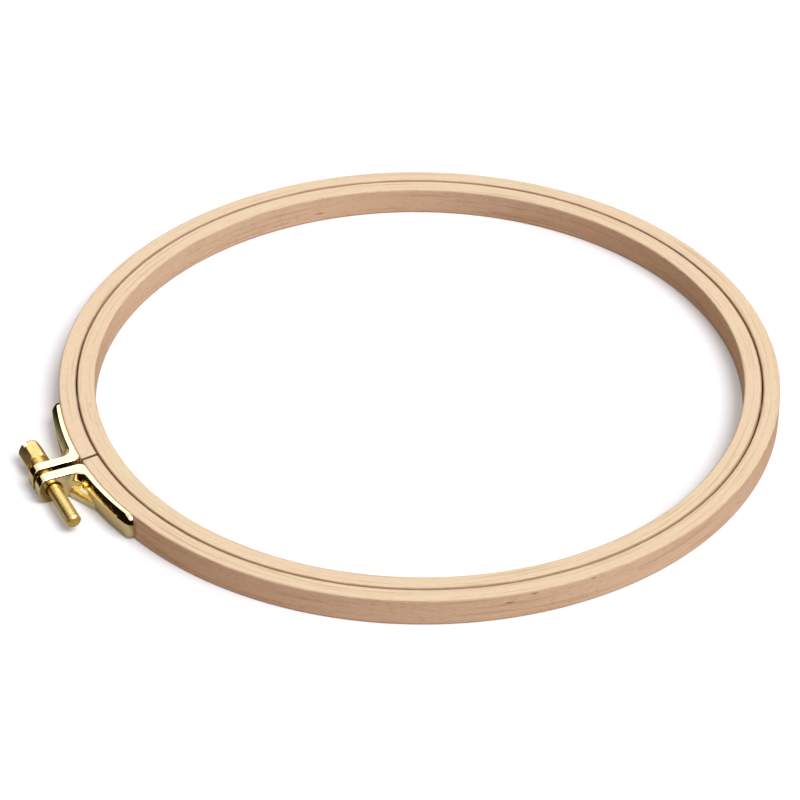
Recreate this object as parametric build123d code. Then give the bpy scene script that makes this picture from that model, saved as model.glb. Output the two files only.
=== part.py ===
from build123d import *
import os
from math import cos, degrees, radians, sin, sqrt, tan

# Wooden embroidery hoop with a brass clamp, millimetres.
# Origin: centre of the hoop's opening at mid depth. +Z is up through the opening,
# +Y points to the clamp, and the clamp screw lies along X with its head at +X.

# Rings: two bent beech rings, one inside the other
hoop_size = 190.0             # outside diameter of the inner ring, the size a hoop is sold by
inner_ring_wall = 4.9
outer_ring_wall = 4.8
ring_depth = 8.0
ring_clearance = 0.3          # radial room for the cloth
ring_edge_radius = 0.4
split_gap = 0.6               # between the two ends of the outer ring's strip
split_offset = 0.6            # the split lies this far to +X of the clamp's middle
split_skew = 7.0              # degrees that the saw cut is off square

# Brackets: a wing along the ring and a lug that stands out from it
bracket_seat = 0.05           # between wing and wood
lug_gap = 1.9                 # between the two lugs
lug_thickness = 2.8           # at the top rim
lug_reach = 14.1              # from the ring's outside to the lug's end
lug_end_radius = 3.2
lug_bulge = 0.3               # the lug's outer face stands this far beyond its rim
rim_bevel = 0.4               # height of the bevel under the lug's top rim
wing_length = 29.0            # along the ring from the clamp's middle
wing_root_rim = 1.45          # width of the wing's top rim beside the lug
wing_tip_rim = 0.9            # and at its tip
wing_bulge = 1.25             # the wing's outer face stands this far beyond its rim
wing_foot_bulge = 0.65        # and this far just above its foot
widest_level = 1.6            # height of the outer face's widest line above mid depth
wing_tip_radius = 2.9         # in side view
tip_nose_radius = 2.0         # and seen from above
tip_nose_lead = 0.03          # the nose's round starts this far outside the face
foot_height = 0.8             # bevel along the bottom edge
foot_inset = 0.35
corner_radius = 3.4           # in the hollow between lug and wing
heel_radius = 1.8             # where the lug turns into the wing on the wood side
gusset_out = 3.4              # web in the hollow corner, measured along the lug
gusset_along = 8.6            # and along the wing
gusset_bevel = 1.1

# Bracket pins: driven from inside the ring, heads just under the wood
pin_diameter = 1.2
pin_head_diameter = 2.3
pin_head_depth = 0.7
pin_recess = 0.15
pin_grip = 1.1                # length in the wing
pin_taper = 0.3
pin_fit = 0.05
root_pin_distance = 9.5       # along the ring from the clamp's middle
tip_pin_distance = 22.0

# Clamp screw
screw_diameter = 4.0
screw_inset = 4.45            # axis in from the lugs' ends
screw_tail = 15.4             # free length beyond the tapped lug
screw_point = 0.6             # chamfer at the free end
plain_hole_clearance = 0.05   # radial
tapped_hole_clearance = 0.3   # radial, leaves room for the lug to swing on the screw
collar_diameter = 5.2
collar_length = 4.0
collar_play = 0.05
head_width = 6.0              # across the flats
head_length = 7.9
head_end_radius = 1.9
head_back_chamfer = 0.5
slot_width = 1.2
slot_depth = 2.6
slot_angle = 60.0             # degrees from +Y about the screw
hex_sides = 6

overrun = 2.0                 # how far a cutting solid passes what it cuts
full_turn = 360.0
half_turn = 180.0

# Derived sizes
half_depth = ring_depth / 2
inner_ring_outside = hoop_size / 2
opening_radius = inner_ring_outside - inner_ring_wall
outer_ring_inside = inner_ring_outside + ring_clearance
outer_ring_outside = outer_ring_inside + outer_ring_wall
wing_inside = outer_ring_outside + bracket_seat
lug_inner_face = lug_gap / 2
lug_rim_face = lug_inner_face + lug_thickness
lug_outer_face = lug_rim_face + lug_bulge
lug_end = outer_ring_outside + lug_reach
screw_radius = screw_diameter / 2
screw_axis = lug_end - screw_inset
wing_tip_angle = degrees(wing_length / outer_ring_outside)
collar_start = lug_outer_face + collar_play
head_start = collar_start + collar_length
head_end = head_start + head_length
tail_end = lug_outer_face + screw_tail


def polar(radius, angle):
    # Point at a radius, its angle counted from +Y towards +X
    return (radius * sin(radians(angle)), radius * cos(radians(angle)))


def ring(inside, wall):
    section = RectangleRounded(wall, ring_depth, ring_edge_radius)
    return revolve(Plane.XZ * Pos(inside + wall / 2, 0) * section, Axis.Z, full_turn)


def split_line(radius):
    # Point on the saw cut's middle line, at a distance from the hoop's centre
    middle = outer_ring_inside + outer_ring_wall / 2
    return (split_offset - (radius - middle) * tan(radians(split_skew)), radius)


def minus_x_side():
    # Everything left of the back seam and of the saw cut
    reach = outer_ring_outside + overrun
    corners = [
        (0, -reach),
        (0, 0),
        split_line(outer_ring_inside - overrun),
        split_line(reach),
        (-reach, reach),
        (-reach, -reach),
    ]
    face = make_face(Polyline(*corners, close=True))
    return extrude(face, half_depth + overrun, both=True)


def saw_cut():
    middle = split_line(outer_ring_inside + outer_ring_wall / 2)
    slab = Box(split_gap, outer_ring_wall + 2 * overrun, ring_depth + 2 * overrun)
    return Pos(*middle, 0) * Rot(0, 0, split_skew) * slab


def outer_ring_half(swings):
    whole = ring(outer_ring_inside, outer_ring_wall) - saw_cut()
    half = whole & minus_x_side() if swings else whole - minus_x_side()
    side = -1 if swings else 1
    for distance in (root_pin_distance, tip_pin_distance):
        half -= pin(side * distance, pin_fit)
    return half


def bracket_plan(level, lug_face, root_rim, tip_rim):
    # Plan of the +X bracket at one height; its lug end and wing tip run on past their trim
    tip_angle = wing_tip_angle + degrees(overrun / outer_ring_outside)
    root_radius = wing_inside + root_rim
    tip_radius = wing_inside + tip_rim
    # The wing's outer arc is centred on Y so that it thins towards the tip
    arc_centre = (root_radius ** 2 - tip_radius ** 2)
    arc_centre /= 2 * (root_radius - tip_radius * cos(radians(tip_angle)))
    arc_radius = root_radius - arc_centre
    hollow_x = lug_face + corner_radius
    hollow_rise = sqrt((arc_radius + corner_radius) ** 2 - hollow_x ** 2)
    hollow_share = arc_radius / (arc_radius + corner_radius)
    hollow_y = arc_centre + hollow_rise
    heel_x = lug_inner_face + heel_radius
    heel_y = sqrt((wing_inside + heel_radius) ** 2 - heel_x ** 2)
    heel_share = wing_inside / (wing_inside + heel_radius)
    trim = lug_end + overrun
    gap_low = (lug_inner_face, heel_y)
    gap_high = (lug_inner_face, trim)
    face_high = (lug_face, trim)
    face_low = (lug_face, hollow_y)
    wing_start = (hollow_x * hollow_share, arc_centre + hollow_rise * hollow_share)
    wing_end = polar(tip_radius, tip_angle)
    seat_end = polar(wing_inside, tip_angle)
    seat_start = (heel_x * heel_share, heel_y * heel_share)
    lines = [
        Line(gap_low, gap_high),
        Line(gap_high, face_high),
        Line(face_high, face_low),
        RadiusArc(face_low, wing_start, -corner_radius),
        RadiusArc(wing_start, wing_end, arc_radius),
        Line(wing_end, seat_end),
        RadiusArc(seat_end, seat_start, -wing_inside),
        RadiusArc(seat_start, gap_low, heel_radius),
    ]
    return Pos(0, 0, level) * make_face(lines)


def bracket_wall():
    # Narrow flat rim on top, outer face leaning out to its widest line and back in, bevelled foot
    under_rim = half_depth - rim_bevel
    lean = wing_bulge * rim_bevel / (half_depth - widest_level)
    levels = [
        (-half_depth, lug_outer_face - foot_inset, wing_foot_bulge - foot_inset),
        (-half_depth + foot_height, lug_outer_face, wing_foot_bulge),
        (widest_level, lug_outer_face, wing_bulge),
        (under_rim, lug_outer_face, lean),
        (half_depth, lug_rim_face, 0),
    ]
    plans = []
    for level, lug_face, bulge in levels:
        plans.append(bracket_plan(level, lug_face, wing_root_rim + bulge, wing_tip_rim + bulge))
    return loft(plans, ruled=True)


def lug_trim():
    # Box whose far end rounds the lug in side view
    width = polar(lug_end, wing_tip_angle)[0] + overrun
    depth = lug_reach + outer_ring_outside / 2
    block = Pos(width / 2, lug_end - depth / 2, 0) * Box(width, depth, ring_depth)
    ends = block.edges().filter_by(Axis.X).group_by(Axis.Y)[-1]
    return fillet(ends, lug_end_radius)


def tip_trim():
    # Box whose end rounds the wing's tip as a tongue
    length = 2 * wing_length
    width = 2 * (lug_reach + outer_ring_wall)
    block = Pos(-length / 2, outer_ring_outside, 0) * Box(length, width, ring_depth)
    ends = block.edges().filter_by(Axis.Y).group_by(Axis.X)[-1]
    return Rot(0, 0, -wing_tip_angle) * fillet(ends, wing_tip_radius)


def tip_nose():
    # The outer corner that the rounded tip lacks, seen from above
    face = wing_inside + wing_tip_rim + wing_bulge + tip_nose_lead
    side = tip_nose_radius + overrun
    middle = side / 2 - tip_nose_radius
    corner = Pos(middle, face + middle, 0) * Box(side, side, ring_depth + overrun)
    depth = ring_depth + 2 * overrun
    nose = Pos(-tip_nose_radius, face - tip_nose_radius, 0) * Cylinder(tip_nose_radius, depth)
    return Rot(0, 0, -wing_tip_angle) * (corner - nose)


def gusset():
    # Three-cornered web in the hollow, its flat top at mid depth
    face_radius = wing_inside + wing_root_rim + wing_foot_bulge
    lug_middle = (lug_inner_face + lug_outer_face) / 2
    wing_middle = wing_inside + (wing_root_rim + wing_foot_bulge) / 2
    along_angle = degrees((lug_outer_face + gusset_along) / face_radius)
    corners = [
        (lug_middle, wing_middle),
        (lug_middle, face_radius + gusset_out),
        (lug_outer_face, face_radius + gusset_out),
        polar(face_radius, along_angle),
        polar(wing_middle, along_angle),
    ]
    web = extrude(make_face(Polyline(*corners, close=True)), -(half_depth - foot_height))
    top = web.edges().group_by(Axis.Z)[-1]
    sloping_edge = top.sort_by(Edge.length)[-1]
    return chamfer(sloping_edge, gusset_bevel)


def x_cylinder(radius, start, end):
    # Cylinder on the screw's axis between two places along X
    middle = (start + end) / 2
    return Pos(middle, screw_axis, 0) * Rot(0, 90, 0) * Cylinder(radius, end - start)


def bracket(hole_clearance, swings):
    body = (bracket_wall() & lug_trim() & tip_trim()) - tip_nose() + gusset()
    hole_radius = screw_radius + hole_clearance
    body -= x_cylinder(hole_radius, lug_inner_face - overrun, lug_outer_face + overrun)
    if swings:
        body = mirror(body, Plane.YZ)
    side = -1 if swings else 1
    for distance in (root_pin_distance, tip_pin_distance):
        body -= pin(side * distance, pin_fit)
    return body


def pin(distance, growth=0.0):
    # Countersunk pin at a distance along the ring; growth makes its hole
    start = outer_ring_inside + pin_recess
    end = wing_inside + pin_grip + growth
    mouth = start - overrun if growth else start
    shank = pin_diameter / 2 + growth
    head = pin_head_diameter / 2 + growth
    outline = [
        (0, mouth),
        (head, mouth),
        (head, start),
        (shank, start + pin_head_depth),
        (shank, end - pin_taper),
        (shank / 2, end),
        (0, end),
    ]
    if not growth:
        outline.pop(1)
    solid = revolve(make_face(Polyline(*outline, close=True)), Axis.Y, full_turn)
    return Rot(0, 0, -degrees(distance / outer_ring_outside)) * solid


def screw_head():
    corner = head_width / 2 / cos(radians(half_turn / hex_sides))
    plan = Plane.YZ * RegularPolygon(corner, hex_sides)
    prism = Pos(head_start, screw_axis, 0) * extrude(plan, head_length)
    dome = x_cylinder(corner, head_start, head_end)
    dome = fillet(dome.edges().group_by(Axis.X)[-1], head_end_radius)
    dome = chamfer(dome.edges().group_by(Axis.X)[0], head_back_chamfer)
    slot = Box(2 * slot_depth, 2 * head_width, slot_width)
    return (prism & dome) - Pos(head_end, screw_axis, 0) * Rot(slot_angle, 0, 0) * slot


def clamp_screw():
    shank = x_cylinder(screw_radius, -tail_end, collar_start + collar_play)
    shank = chamfer(shank.edges().group_by(Axis.X)[0], screw_point)
    collar = x_cylinder(collar_diameter / 2, collar_start, head_start + head_back_chamfer)
    return shank + collar + screw_head()


parts = {
    "inner_ring": ring(opening_radius, inner_ring_wall),
    "outer_ring_fixed_half": outer_ring_half(False),
    "outer_ring_swing_half": outer_ring_half(True),
    "plain_bracket": bracket(plain_hole_clearance, False),
    "tapped_bracket": bracket(tapped_hole_clearance, True),
    "plain_bracket_root_pin": pin(root_pin_distance),
    "plain_bracket_tip_pin": pin(tip_pin_distance),
    "tapped_bracket_root_pin": pin(-root_pin_distance),
    "tapped_bracket_tip_pin": pin(-tip_pin_distance),
    "clamp_screw": clamp_screw(),
}

os.makedirs("parts", exist_ok=True)
for node, shape in parts.items():
    export_step(shape, "parts/" + node + ".step")
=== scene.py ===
import math
from functools import partial
import bmesh
import bpy
from mathutils import Matrix, Vector


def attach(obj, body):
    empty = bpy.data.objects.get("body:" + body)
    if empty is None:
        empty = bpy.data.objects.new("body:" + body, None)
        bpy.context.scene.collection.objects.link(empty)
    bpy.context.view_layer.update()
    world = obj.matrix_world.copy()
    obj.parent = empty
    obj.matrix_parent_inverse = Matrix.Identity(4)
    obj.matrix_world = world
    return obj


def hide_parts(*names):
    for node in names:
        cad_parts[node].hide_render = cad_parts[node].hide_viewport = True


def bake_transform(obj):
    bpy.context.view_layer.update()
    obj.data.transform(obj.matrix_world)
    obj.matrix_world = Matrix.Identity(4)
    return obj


# Wooden embroidery hoop with a brass clamp, in a plain studio.
# Sizes are in millimetres and turn to metres where a mesh is made. Origin at the
# centre of the opening at mid depth, clamp at +Y, screw head at +X.

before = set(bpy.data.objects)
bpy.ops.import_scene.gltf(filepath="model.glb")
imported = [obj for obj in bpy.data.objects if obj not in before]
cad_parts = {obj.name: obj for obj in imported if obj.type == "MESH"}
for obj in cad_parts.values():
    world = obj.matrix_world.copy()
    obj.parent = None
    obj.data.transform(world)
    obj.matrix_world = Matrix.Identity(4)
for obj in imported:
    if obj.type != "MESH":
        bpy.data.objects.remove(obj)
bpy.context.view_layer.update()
scene = bpy.context.scene
mm = 0.001
rings = {
    "hoop": 190.0, "innerWall": 4.9, "outerWall": 4.8, "depth": 8.0, "clearance": 0.3,
    "edge": 0.4,            # rounding of the sanded edges
    "sawGap": 0.6, "sawOffset": 0.6, "sawSkew": 7.0,
    "scarfTurn": 190.7, "scarfLength": 29.0,   # glued joint of the inner ring
    "thinning": 0.022,      # share by which the hand sanded wall varies
    "sawRoughness": 0.16, "smoothBelow": 42,     # degrees between faces
    "sawGrain": 1.1, "thinningGrain": 0.045,    # noise cells per millimetre
    "profilePoints": 96, "cornerPoints": 6, "stepsAround": 480, "weld": 0.004,
}
innerMiddle = rings["hoop"] / 2 - rings["innerWall"] / 2
outerInside = rings["hoop"] / 2 + rings["clearance"]
outerOutside = outerInside + rings["outerWall"]
outerMiddle = outerInside + rings["outerWall"] / 2
halfDepth = rings["depth"] / 2


def linearColor(hexText):
    # sRGB hex to the linear values that shaders take
    values = []
    for start in (0, 2, 4):
        value = int(hexText[start:start + 2], 16) / 255
        values.append(value / 12.92 if value <= 0.04045 else ((value + 0.055) / 1.055) ** 2.4)
    return (*values, 1.0)


def addNode(tree, kind, inputs=(), **settings):
    # One node with its settings. Inputs come as a list or by name or number; each is a
    # socket, a node (its first output in use is meant), a hex colour or a plain value.
    node = tree.nodes.new(kind)
    for name, value in settings.items():
        setattr(node, name, value)
    for key, value in inputs.items() if isinstance(inputs, dict) else enumerate(inputs):
        socket = node.inputs[key]
        if isinstance(value, bpy.types.Node):
            value = next(output for output in value.outputs if output.enabled)
        if isinstance(value, bpy.types.NodeSocket):
            tree.links.new(value, socket)
        else:
            socket.default_value = linearColor(value) if socket.type == "RGBA" else value
    return node


def newObject(name, data):
    made = bpy.data.objects.new(name, data)
    scene.collection.objects.link(made)
    return made


def newMaterial(name):
    # An empty material, and what adds nodes to it
    material = bpy.data.materials.new(name)
    material.use_nodes = True
    material.node_tree.nodes.clear()
    return material, partial(addNode, material.node_tree)


print("frame loaded")

# Beech, steamed, planed, bent and sanded: pale, warm, dull. Fine lines run along the
# strip, and its broad faces show short dark ray flecks. Lengths are in millimetres.
beech = {
    # the side colours are deeper than the top colours: painted shade on the upright faces
    "topLight": "FBE5C4", "topDark": "DFBD92", "shadedSideLight": "F7DFC5", "shadedSideDark": "D0AB87",
    # the last colour on the next line is painted shade along the seam between the rings
    "pink": "F0CDAE", "line": "B98A60", "fleck": "8A5A35", "burnt": "5A3417", "seamShade": "8A5B38",
    "lineLength": 38.0, "lineSpacing": 0.75,    # growth lines
    "swayScale": (0.018, 0.10, 0.10), "swayReach": 1.6,     # how they wander
    "fibreLength": 3.2, "fibreWidth": 0.24, "blotchLength": 34.0, "blotchWidth": 6.25,
    "tornLength": 6.25, "tornWidth": 1 / 1.3,
    # values a colour starts and is full at, then what comes out at both where it isn't 0 and 1
    "lineRange": (0.53, 0.72), "blotchRange": (0.36, 0.66), "edgeFaceRange": (0.45, 0.9),
    "fleckFade": (0.0, 1.0, 1.0, 0.35), "tornRange": (0.42, 0.68, 0.10, 0.55),
    "seamShadeRange": (-0.06, 0.24, 0.5, 0.0), "markRange": (0.25, 1.1, 0.8, 0.0),
    # the first two pairs place the darker edge band, which is partly painted shade
    "edgeBandHeight": (0.75, 0.12), "edgeBandWall": (0.62, 0.1), "burntWidth": (0.08, 0.34),
    # ray flecks: length, spacing, share left out, half width in spacings, strength
    "flecks": ((2.6, 0.75, 0.30, 0.30, 0.27), (26.0, 3.4, 0.62, 0.075, 0.85)),
    # single dark flecks of the outer ring: place along it, height, length, width
    "marks": ((479.5, 1.4, 3.0, 0.75), (473.0, 3.15, 2.4, 0.6), (456.6, 3.2, 2.2, 0.5),
              (402.0, -1.0, 2.2, 0.4)),
    "pinkShare": 0.55, "lineShare": 0.5, "burntShare": 0.85,
    "roughness": 0.62, "reliefDepth": 0.03,
}


def beechMaterial(name, wallInside, wallOutside, seam, shift, cutShare, marks):
    # shift moves the pattern, so that two strips aren't twins; seam is the radius of the
    # strip's face at the other ring; cutShare 1 darkens the saw cut
    material, add = newMaterial(name)
    strip = add("ShaderNodeAttribute", attribute_name="grain").outputs["Vector"]
    place = add("ShaderNodeVectorMath", [strip, (shift, shift * 0.37, shift * 0.11)])
    apart = add("ShaderNodeSeparateXYZ", [strip]).outputs
    sway = add("ShaderNodeVectorMath", [place, beech["swayScale"]], operation="MULTIPLY")
    swayNoise = add("ShaderNodeTexNoise", {"Vector": sway, "Scale": 1.0, "Detail": 2.0})
    reach = (0.0, beech["swayReach"], beech["swayReach"])
    swayed = add("ShaderNodeVectorMath", [swayNoise.outputs["Color"], reach, place],
            operation="MULTIPLY_ADD")

    # growth lines along the strip; fibres and pores, a little coarser than real so that they
    # show; broad drift between yellowish and pinkish wood; torn wood
    noises = []
    for source, detail, roughness, *sizes in (
            (swayed, 4.0, 0.58, beech["lineLength"], beech["lineSpacing"], 1.7 * beech["lineSpacing"]),
            (place, 2.0, 0.6, beech["fibreLength"], beech["fibreWidth"], beech["fibreWidth"]),
            (place, 3.0, 0.5, beech["blotchLength"], beech["blotchWidth"], beech["blotchWidth"]),
            (place, 5.0, 0.7, beech["tornLength"], beech["tornWidth"], beech["tornWidth"])):
        space = add("ShaderNodeVectorMath", [source, [1 / size for size in sizes]], operation="MULTIPLY")
        noises.append(add("ShaderNodeTexNoise",
                {"Vector": space, "Scale": 1.0, "Detail": detail, "Roughness": roughness}))
    lineNoise, fibreNoise, blotchNoise, tornNoise = noises
    lineMask = add("ShaderNodeMapRange", [lineNoise, *beech["lineRange"]])
    blotch = add("ShaderNodeMapRange", [blotchNoise, *beech["blotchRange"]])

    # the strip's edge faces are paler than its broad faces; the upright broad faces get deeper colours as
    # painted shade
    facing = add("ShaderNodeNewGeometry").outputs["Normal"]
    upright = add("ShaderNodeSeparateXYZ", [facing]).outputs["Z"]
    upright = add("ShaderNodeMath", [upright], operation="ABSOLUTE")
    edgeFace = add("ShaderNodeMapRange", [upright, *beech["edgeFaceRange"]],
            interpolation_type="SMOOTHSTEP")
    topTone = add("ShaderNodeMix", {"Factor": fibreNoise, 6: beech["topDark"], 7: beech["topLight"]},
            data_type="RGBA")
    shadedSideTone = add("ShaderNodeMix", {"Factor": fibreNoise, 6: beech["shadedSideDark"], 7: beech["shadedSideLight"]},
            data_type="RGBA")
    color = add("ShaderNodeMix", {"Factor": edgeFace, 6: shadedSideTone, 7: topTone}, data_type="RGBA")

    # colours laid over it in turn: how much of each, and which
    pinkAmount = add("ShaderNodeMath", [blotch, beech["pinkShare"]], operation="MULTIPLY")
    lineAmount = add("ShaderNodeMath", [lineMask, beech["lineShare"]], operation="MULTIPLY")
    layers = [(pinkAmount, "pink"), (lineAmount, "line")]
    # many faint short ray flecks, and a few long dark ones, weaker on the edge faces
    fade = add("ShaderNodeMapRange", [edgeFace, *beech["fleckFade"]])
    for length, spacing, leftOut, width, strength in beech["flecks"]:
        scale = (1 / length, 1 / spacing, 1 / spacing)
        fleckSpace = add("ShaderNodeVectorMath", [swayed, scale], operation="MULTIPLY")
        cells = add("ShaderNodeTexVoronoi", {"Vector": fleckSpace, "Scale": 1.0})
        core = add("ShaderNodeMapRange", [cells, width, width * 0.45, 0.0, strength])
        chance = add("ShaderNodeSeparateColor", [cells.outputs["Color"]])
        chosen = add("ShaderNodeMath", [chance, leftOut], operation="GREATER_THAN")
        mask = add("ShaderNodeMath", [core, chosen], operation="MULTIPLY")
        fleckMask = add("ShaderNodeMath", [mask, fade], operation="MULTIPLY")
        layers.append((fleckMask, "fleck"))

    # darker, torn wood along the edges of the broad faces: partly torn fibres, partly painted shade on
    # the rounded edges
    height = add("ShaderNodeMath", [apart["Z"]], operation="ABSOLUTE")
    nearTop = add("ShaderNodeMapRange", [height, *(halfDepth - inset for inset in beech["edgeBandHeight"])])
    middle, halfWall = (wallInside + wallOutside) / 2, (wallOutside - wallInside) / 2
    across = add("ShaderNodeMath", [apart["Y"], middle], operation="SUBTRACT")
    across = add("ShaderNodeMath", [across], operation="ABSOLUTE")
    nearWall = add("ShaderNodeMapRange", [across, *(halfWall - inset for inset in beech["edgeBandWall"])])
    torn = add("ShaderNodeMapRange", [tornNoise, *beech["tornRange"]])
    tornAndShadedEdge = add("ShaderNodeMath", [nearTop, nearWall], operation="MULTIPLY")
    tornAndShadedEdge = add("ShaderNodeMath", [tornAndShadedEdge, torn], operation="MULTIPLY")
    layers.append((tornAndShadedEdge, "line"))

    # brown darkening along the seam between the rings: painted shade in the gap
    fromSeam = add("ShaderNodeMath", [apart["Y"], -seam], operation="ADD")
    fromSeam = add("ShaderNodeMath", [fromSeam], operation="ABSOLUTE")
    seamShading = add("ShaderNodeMath", [tornNoise, -0.45, fromSeam], operation="MULTIPLY_ADD")
    seamShade = add("ShaderNodeMapRange", [seamShading, *beech["seamShadeRange"]])
    layers.append((seamShade, "seamShade"))
    # a few single dark flecks at given places
    for along, high, length, thick in marks:
        offset = add("ShaderNodeVectorMath", [strip, (along, 0.0, high)], operation="SUBTRACT")
        offset = add("ShaderNodeVectorMath", [offset, (2 / length, 0.0, 2 / thick)], operation="MULTIPLY")
        offset = add("ShaderNodeVectorMath", [offset], operation="LENGTH")
        mark = add("ShaderNodeMapRange", [offset, *beech["markRange"]])
        layers.append((mark, "fleck"))

    # the saw cut's burnt edges
    spot = add("ShaderNodeTexCoord").outputs["Object"]
    spot = add("ShaderNodeSeparateXYZ", [spot]).outputs
    skew = add("ShaderNodeMath", [spot["Y"], -outerMiddle * mm], operation="ADD")
    skew = add("ShaderNodeMath", [skew, math.tan(math.radians(rings["sawSkew"])), spot["X"]],
            operation="MULTIPLY_ADD")
    skew = add("ShaderNodeMath", [skew, -rings["sawOffset"] * mm], operation="ADD")
    skew = add("ShaderNodeMath", [skew], operation="ABSOLUTE")
    ragged = add("ShaderNodeMath", [fibreNoise, -0.5 * mm, skew], operation="MULTIPLY_ADD")
    burntFrom, burntTo = (width * mm for width in beech["burntWidth"])
    burnt = add("ShaderNodeMapRange", [ragged, burntFrom, burntTo, beech["burntShare"], 0.0])
    nearClamp = add("ShaderNodeMath", [spot["Y"], outerInside * 0.9 * mm], operation="GREATER_THAN")
    burnt = add("ShaderNodeMath", [burnt, nearClamp], operation="MULTIPLY")
    burnt = add("ShaderNodeMath", [burnt, cutShare], operation="MULTIPLY")
    layers.append((burnt, "burnt"))
    for amount, key in layers:
        color = add("ShaderNodeMix", {"Factor": amount, 6: color, 7: beech[key]}, data_type="RGBA")

    # relief: fibres stand, lines and the last flecks, the long ones, lie a little deeper
    relief = add("ShaderNodeMath", [lineMask, -0.35, fibreNoise], operation="MULTIPLY_ADD")
    relief = add("ShaderNodeMath", [fleckMask, -0.9, relief], operation="MULTIPLY_ADD")
    bump = add("ShaderNodeBump",
            {"Strength": 0.55, "Distance": beech["reliefDepth"] * mm, "Height": relief})
    dullness = add("ShaderNodeMapRange",
            [fibreNoise, 0.0, 1.0, beech["roughness"] + 0.08, beech["roughness"] - 0.06])
    shader = add("ShaderNodeBsdfPrincipled",
            {"Base Color": color, "Roughness": dullness, "IOR": 1.5, "Specular IOR Level": 0.32,
             "Normal": bump})
    add("ShaderNodeOutputMaterial", {"Surface": shader})
    return material


innerBeech = beechMaterial("sandedBeechInner", rings["hoop"] / 2 - rings["innerWall"], rings["hoop"] / 2,
                           rings["hoop"] / 2, 0.0, 0.0, ())
outerBeech = beechMaterial("sandedBeechOuter", outerInside, outerOutside, outerInside, 311.0, 1.0,
                           beech["marks"])
print("beech made")


def newShapeTree(name, numbers, counts, switches=()):
    # A geometry tree with those named inputs and a material, what adds nodes to it, and the
    # sockets that give its inputs
    tree = bpy.data.node_groups.new(name, "GeometryNodeTree")
    kinds = {"Float": numbers, "Int": counts, "Bool": switches, "Material": ["Material"]}
    for kind, names in kinds.items():
        for item in names:
            tree.interface.new_socket(name=item, in_out="INPUT", socket_type="NodeSocket" + kind)
    tree.interface.new_socket(name="Shape", in_out="OUTPUT", socket_type="NodeSocketGeometry")
    add = partial(addNode, tree)
    return tree, add, add("NodeGroupInput").outputs


def closeShapeTree(tree, shape, weld, material):
    # Joins points closer than weld, turns millimetres to metres and ends the tree
    add = partial(addNode, tree)
    shape = add("GeometryNodeMergeByDistance", {0: shape, "Distance": weld})
    shape = add("GeometryNodeTransform", {0: shape, "Scale": (mm, mm, mm)})
    shape = add("GeometryNodeSetShadeSmooth", [shape])
    shape = add("GeometryNodeRealizeInstances", [shape])
    shape = add("GeometryNodeSetMaterial", {0: shape, "Material": material})
    add("NodeGroupOutput", [shape])
    return tree


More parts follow.
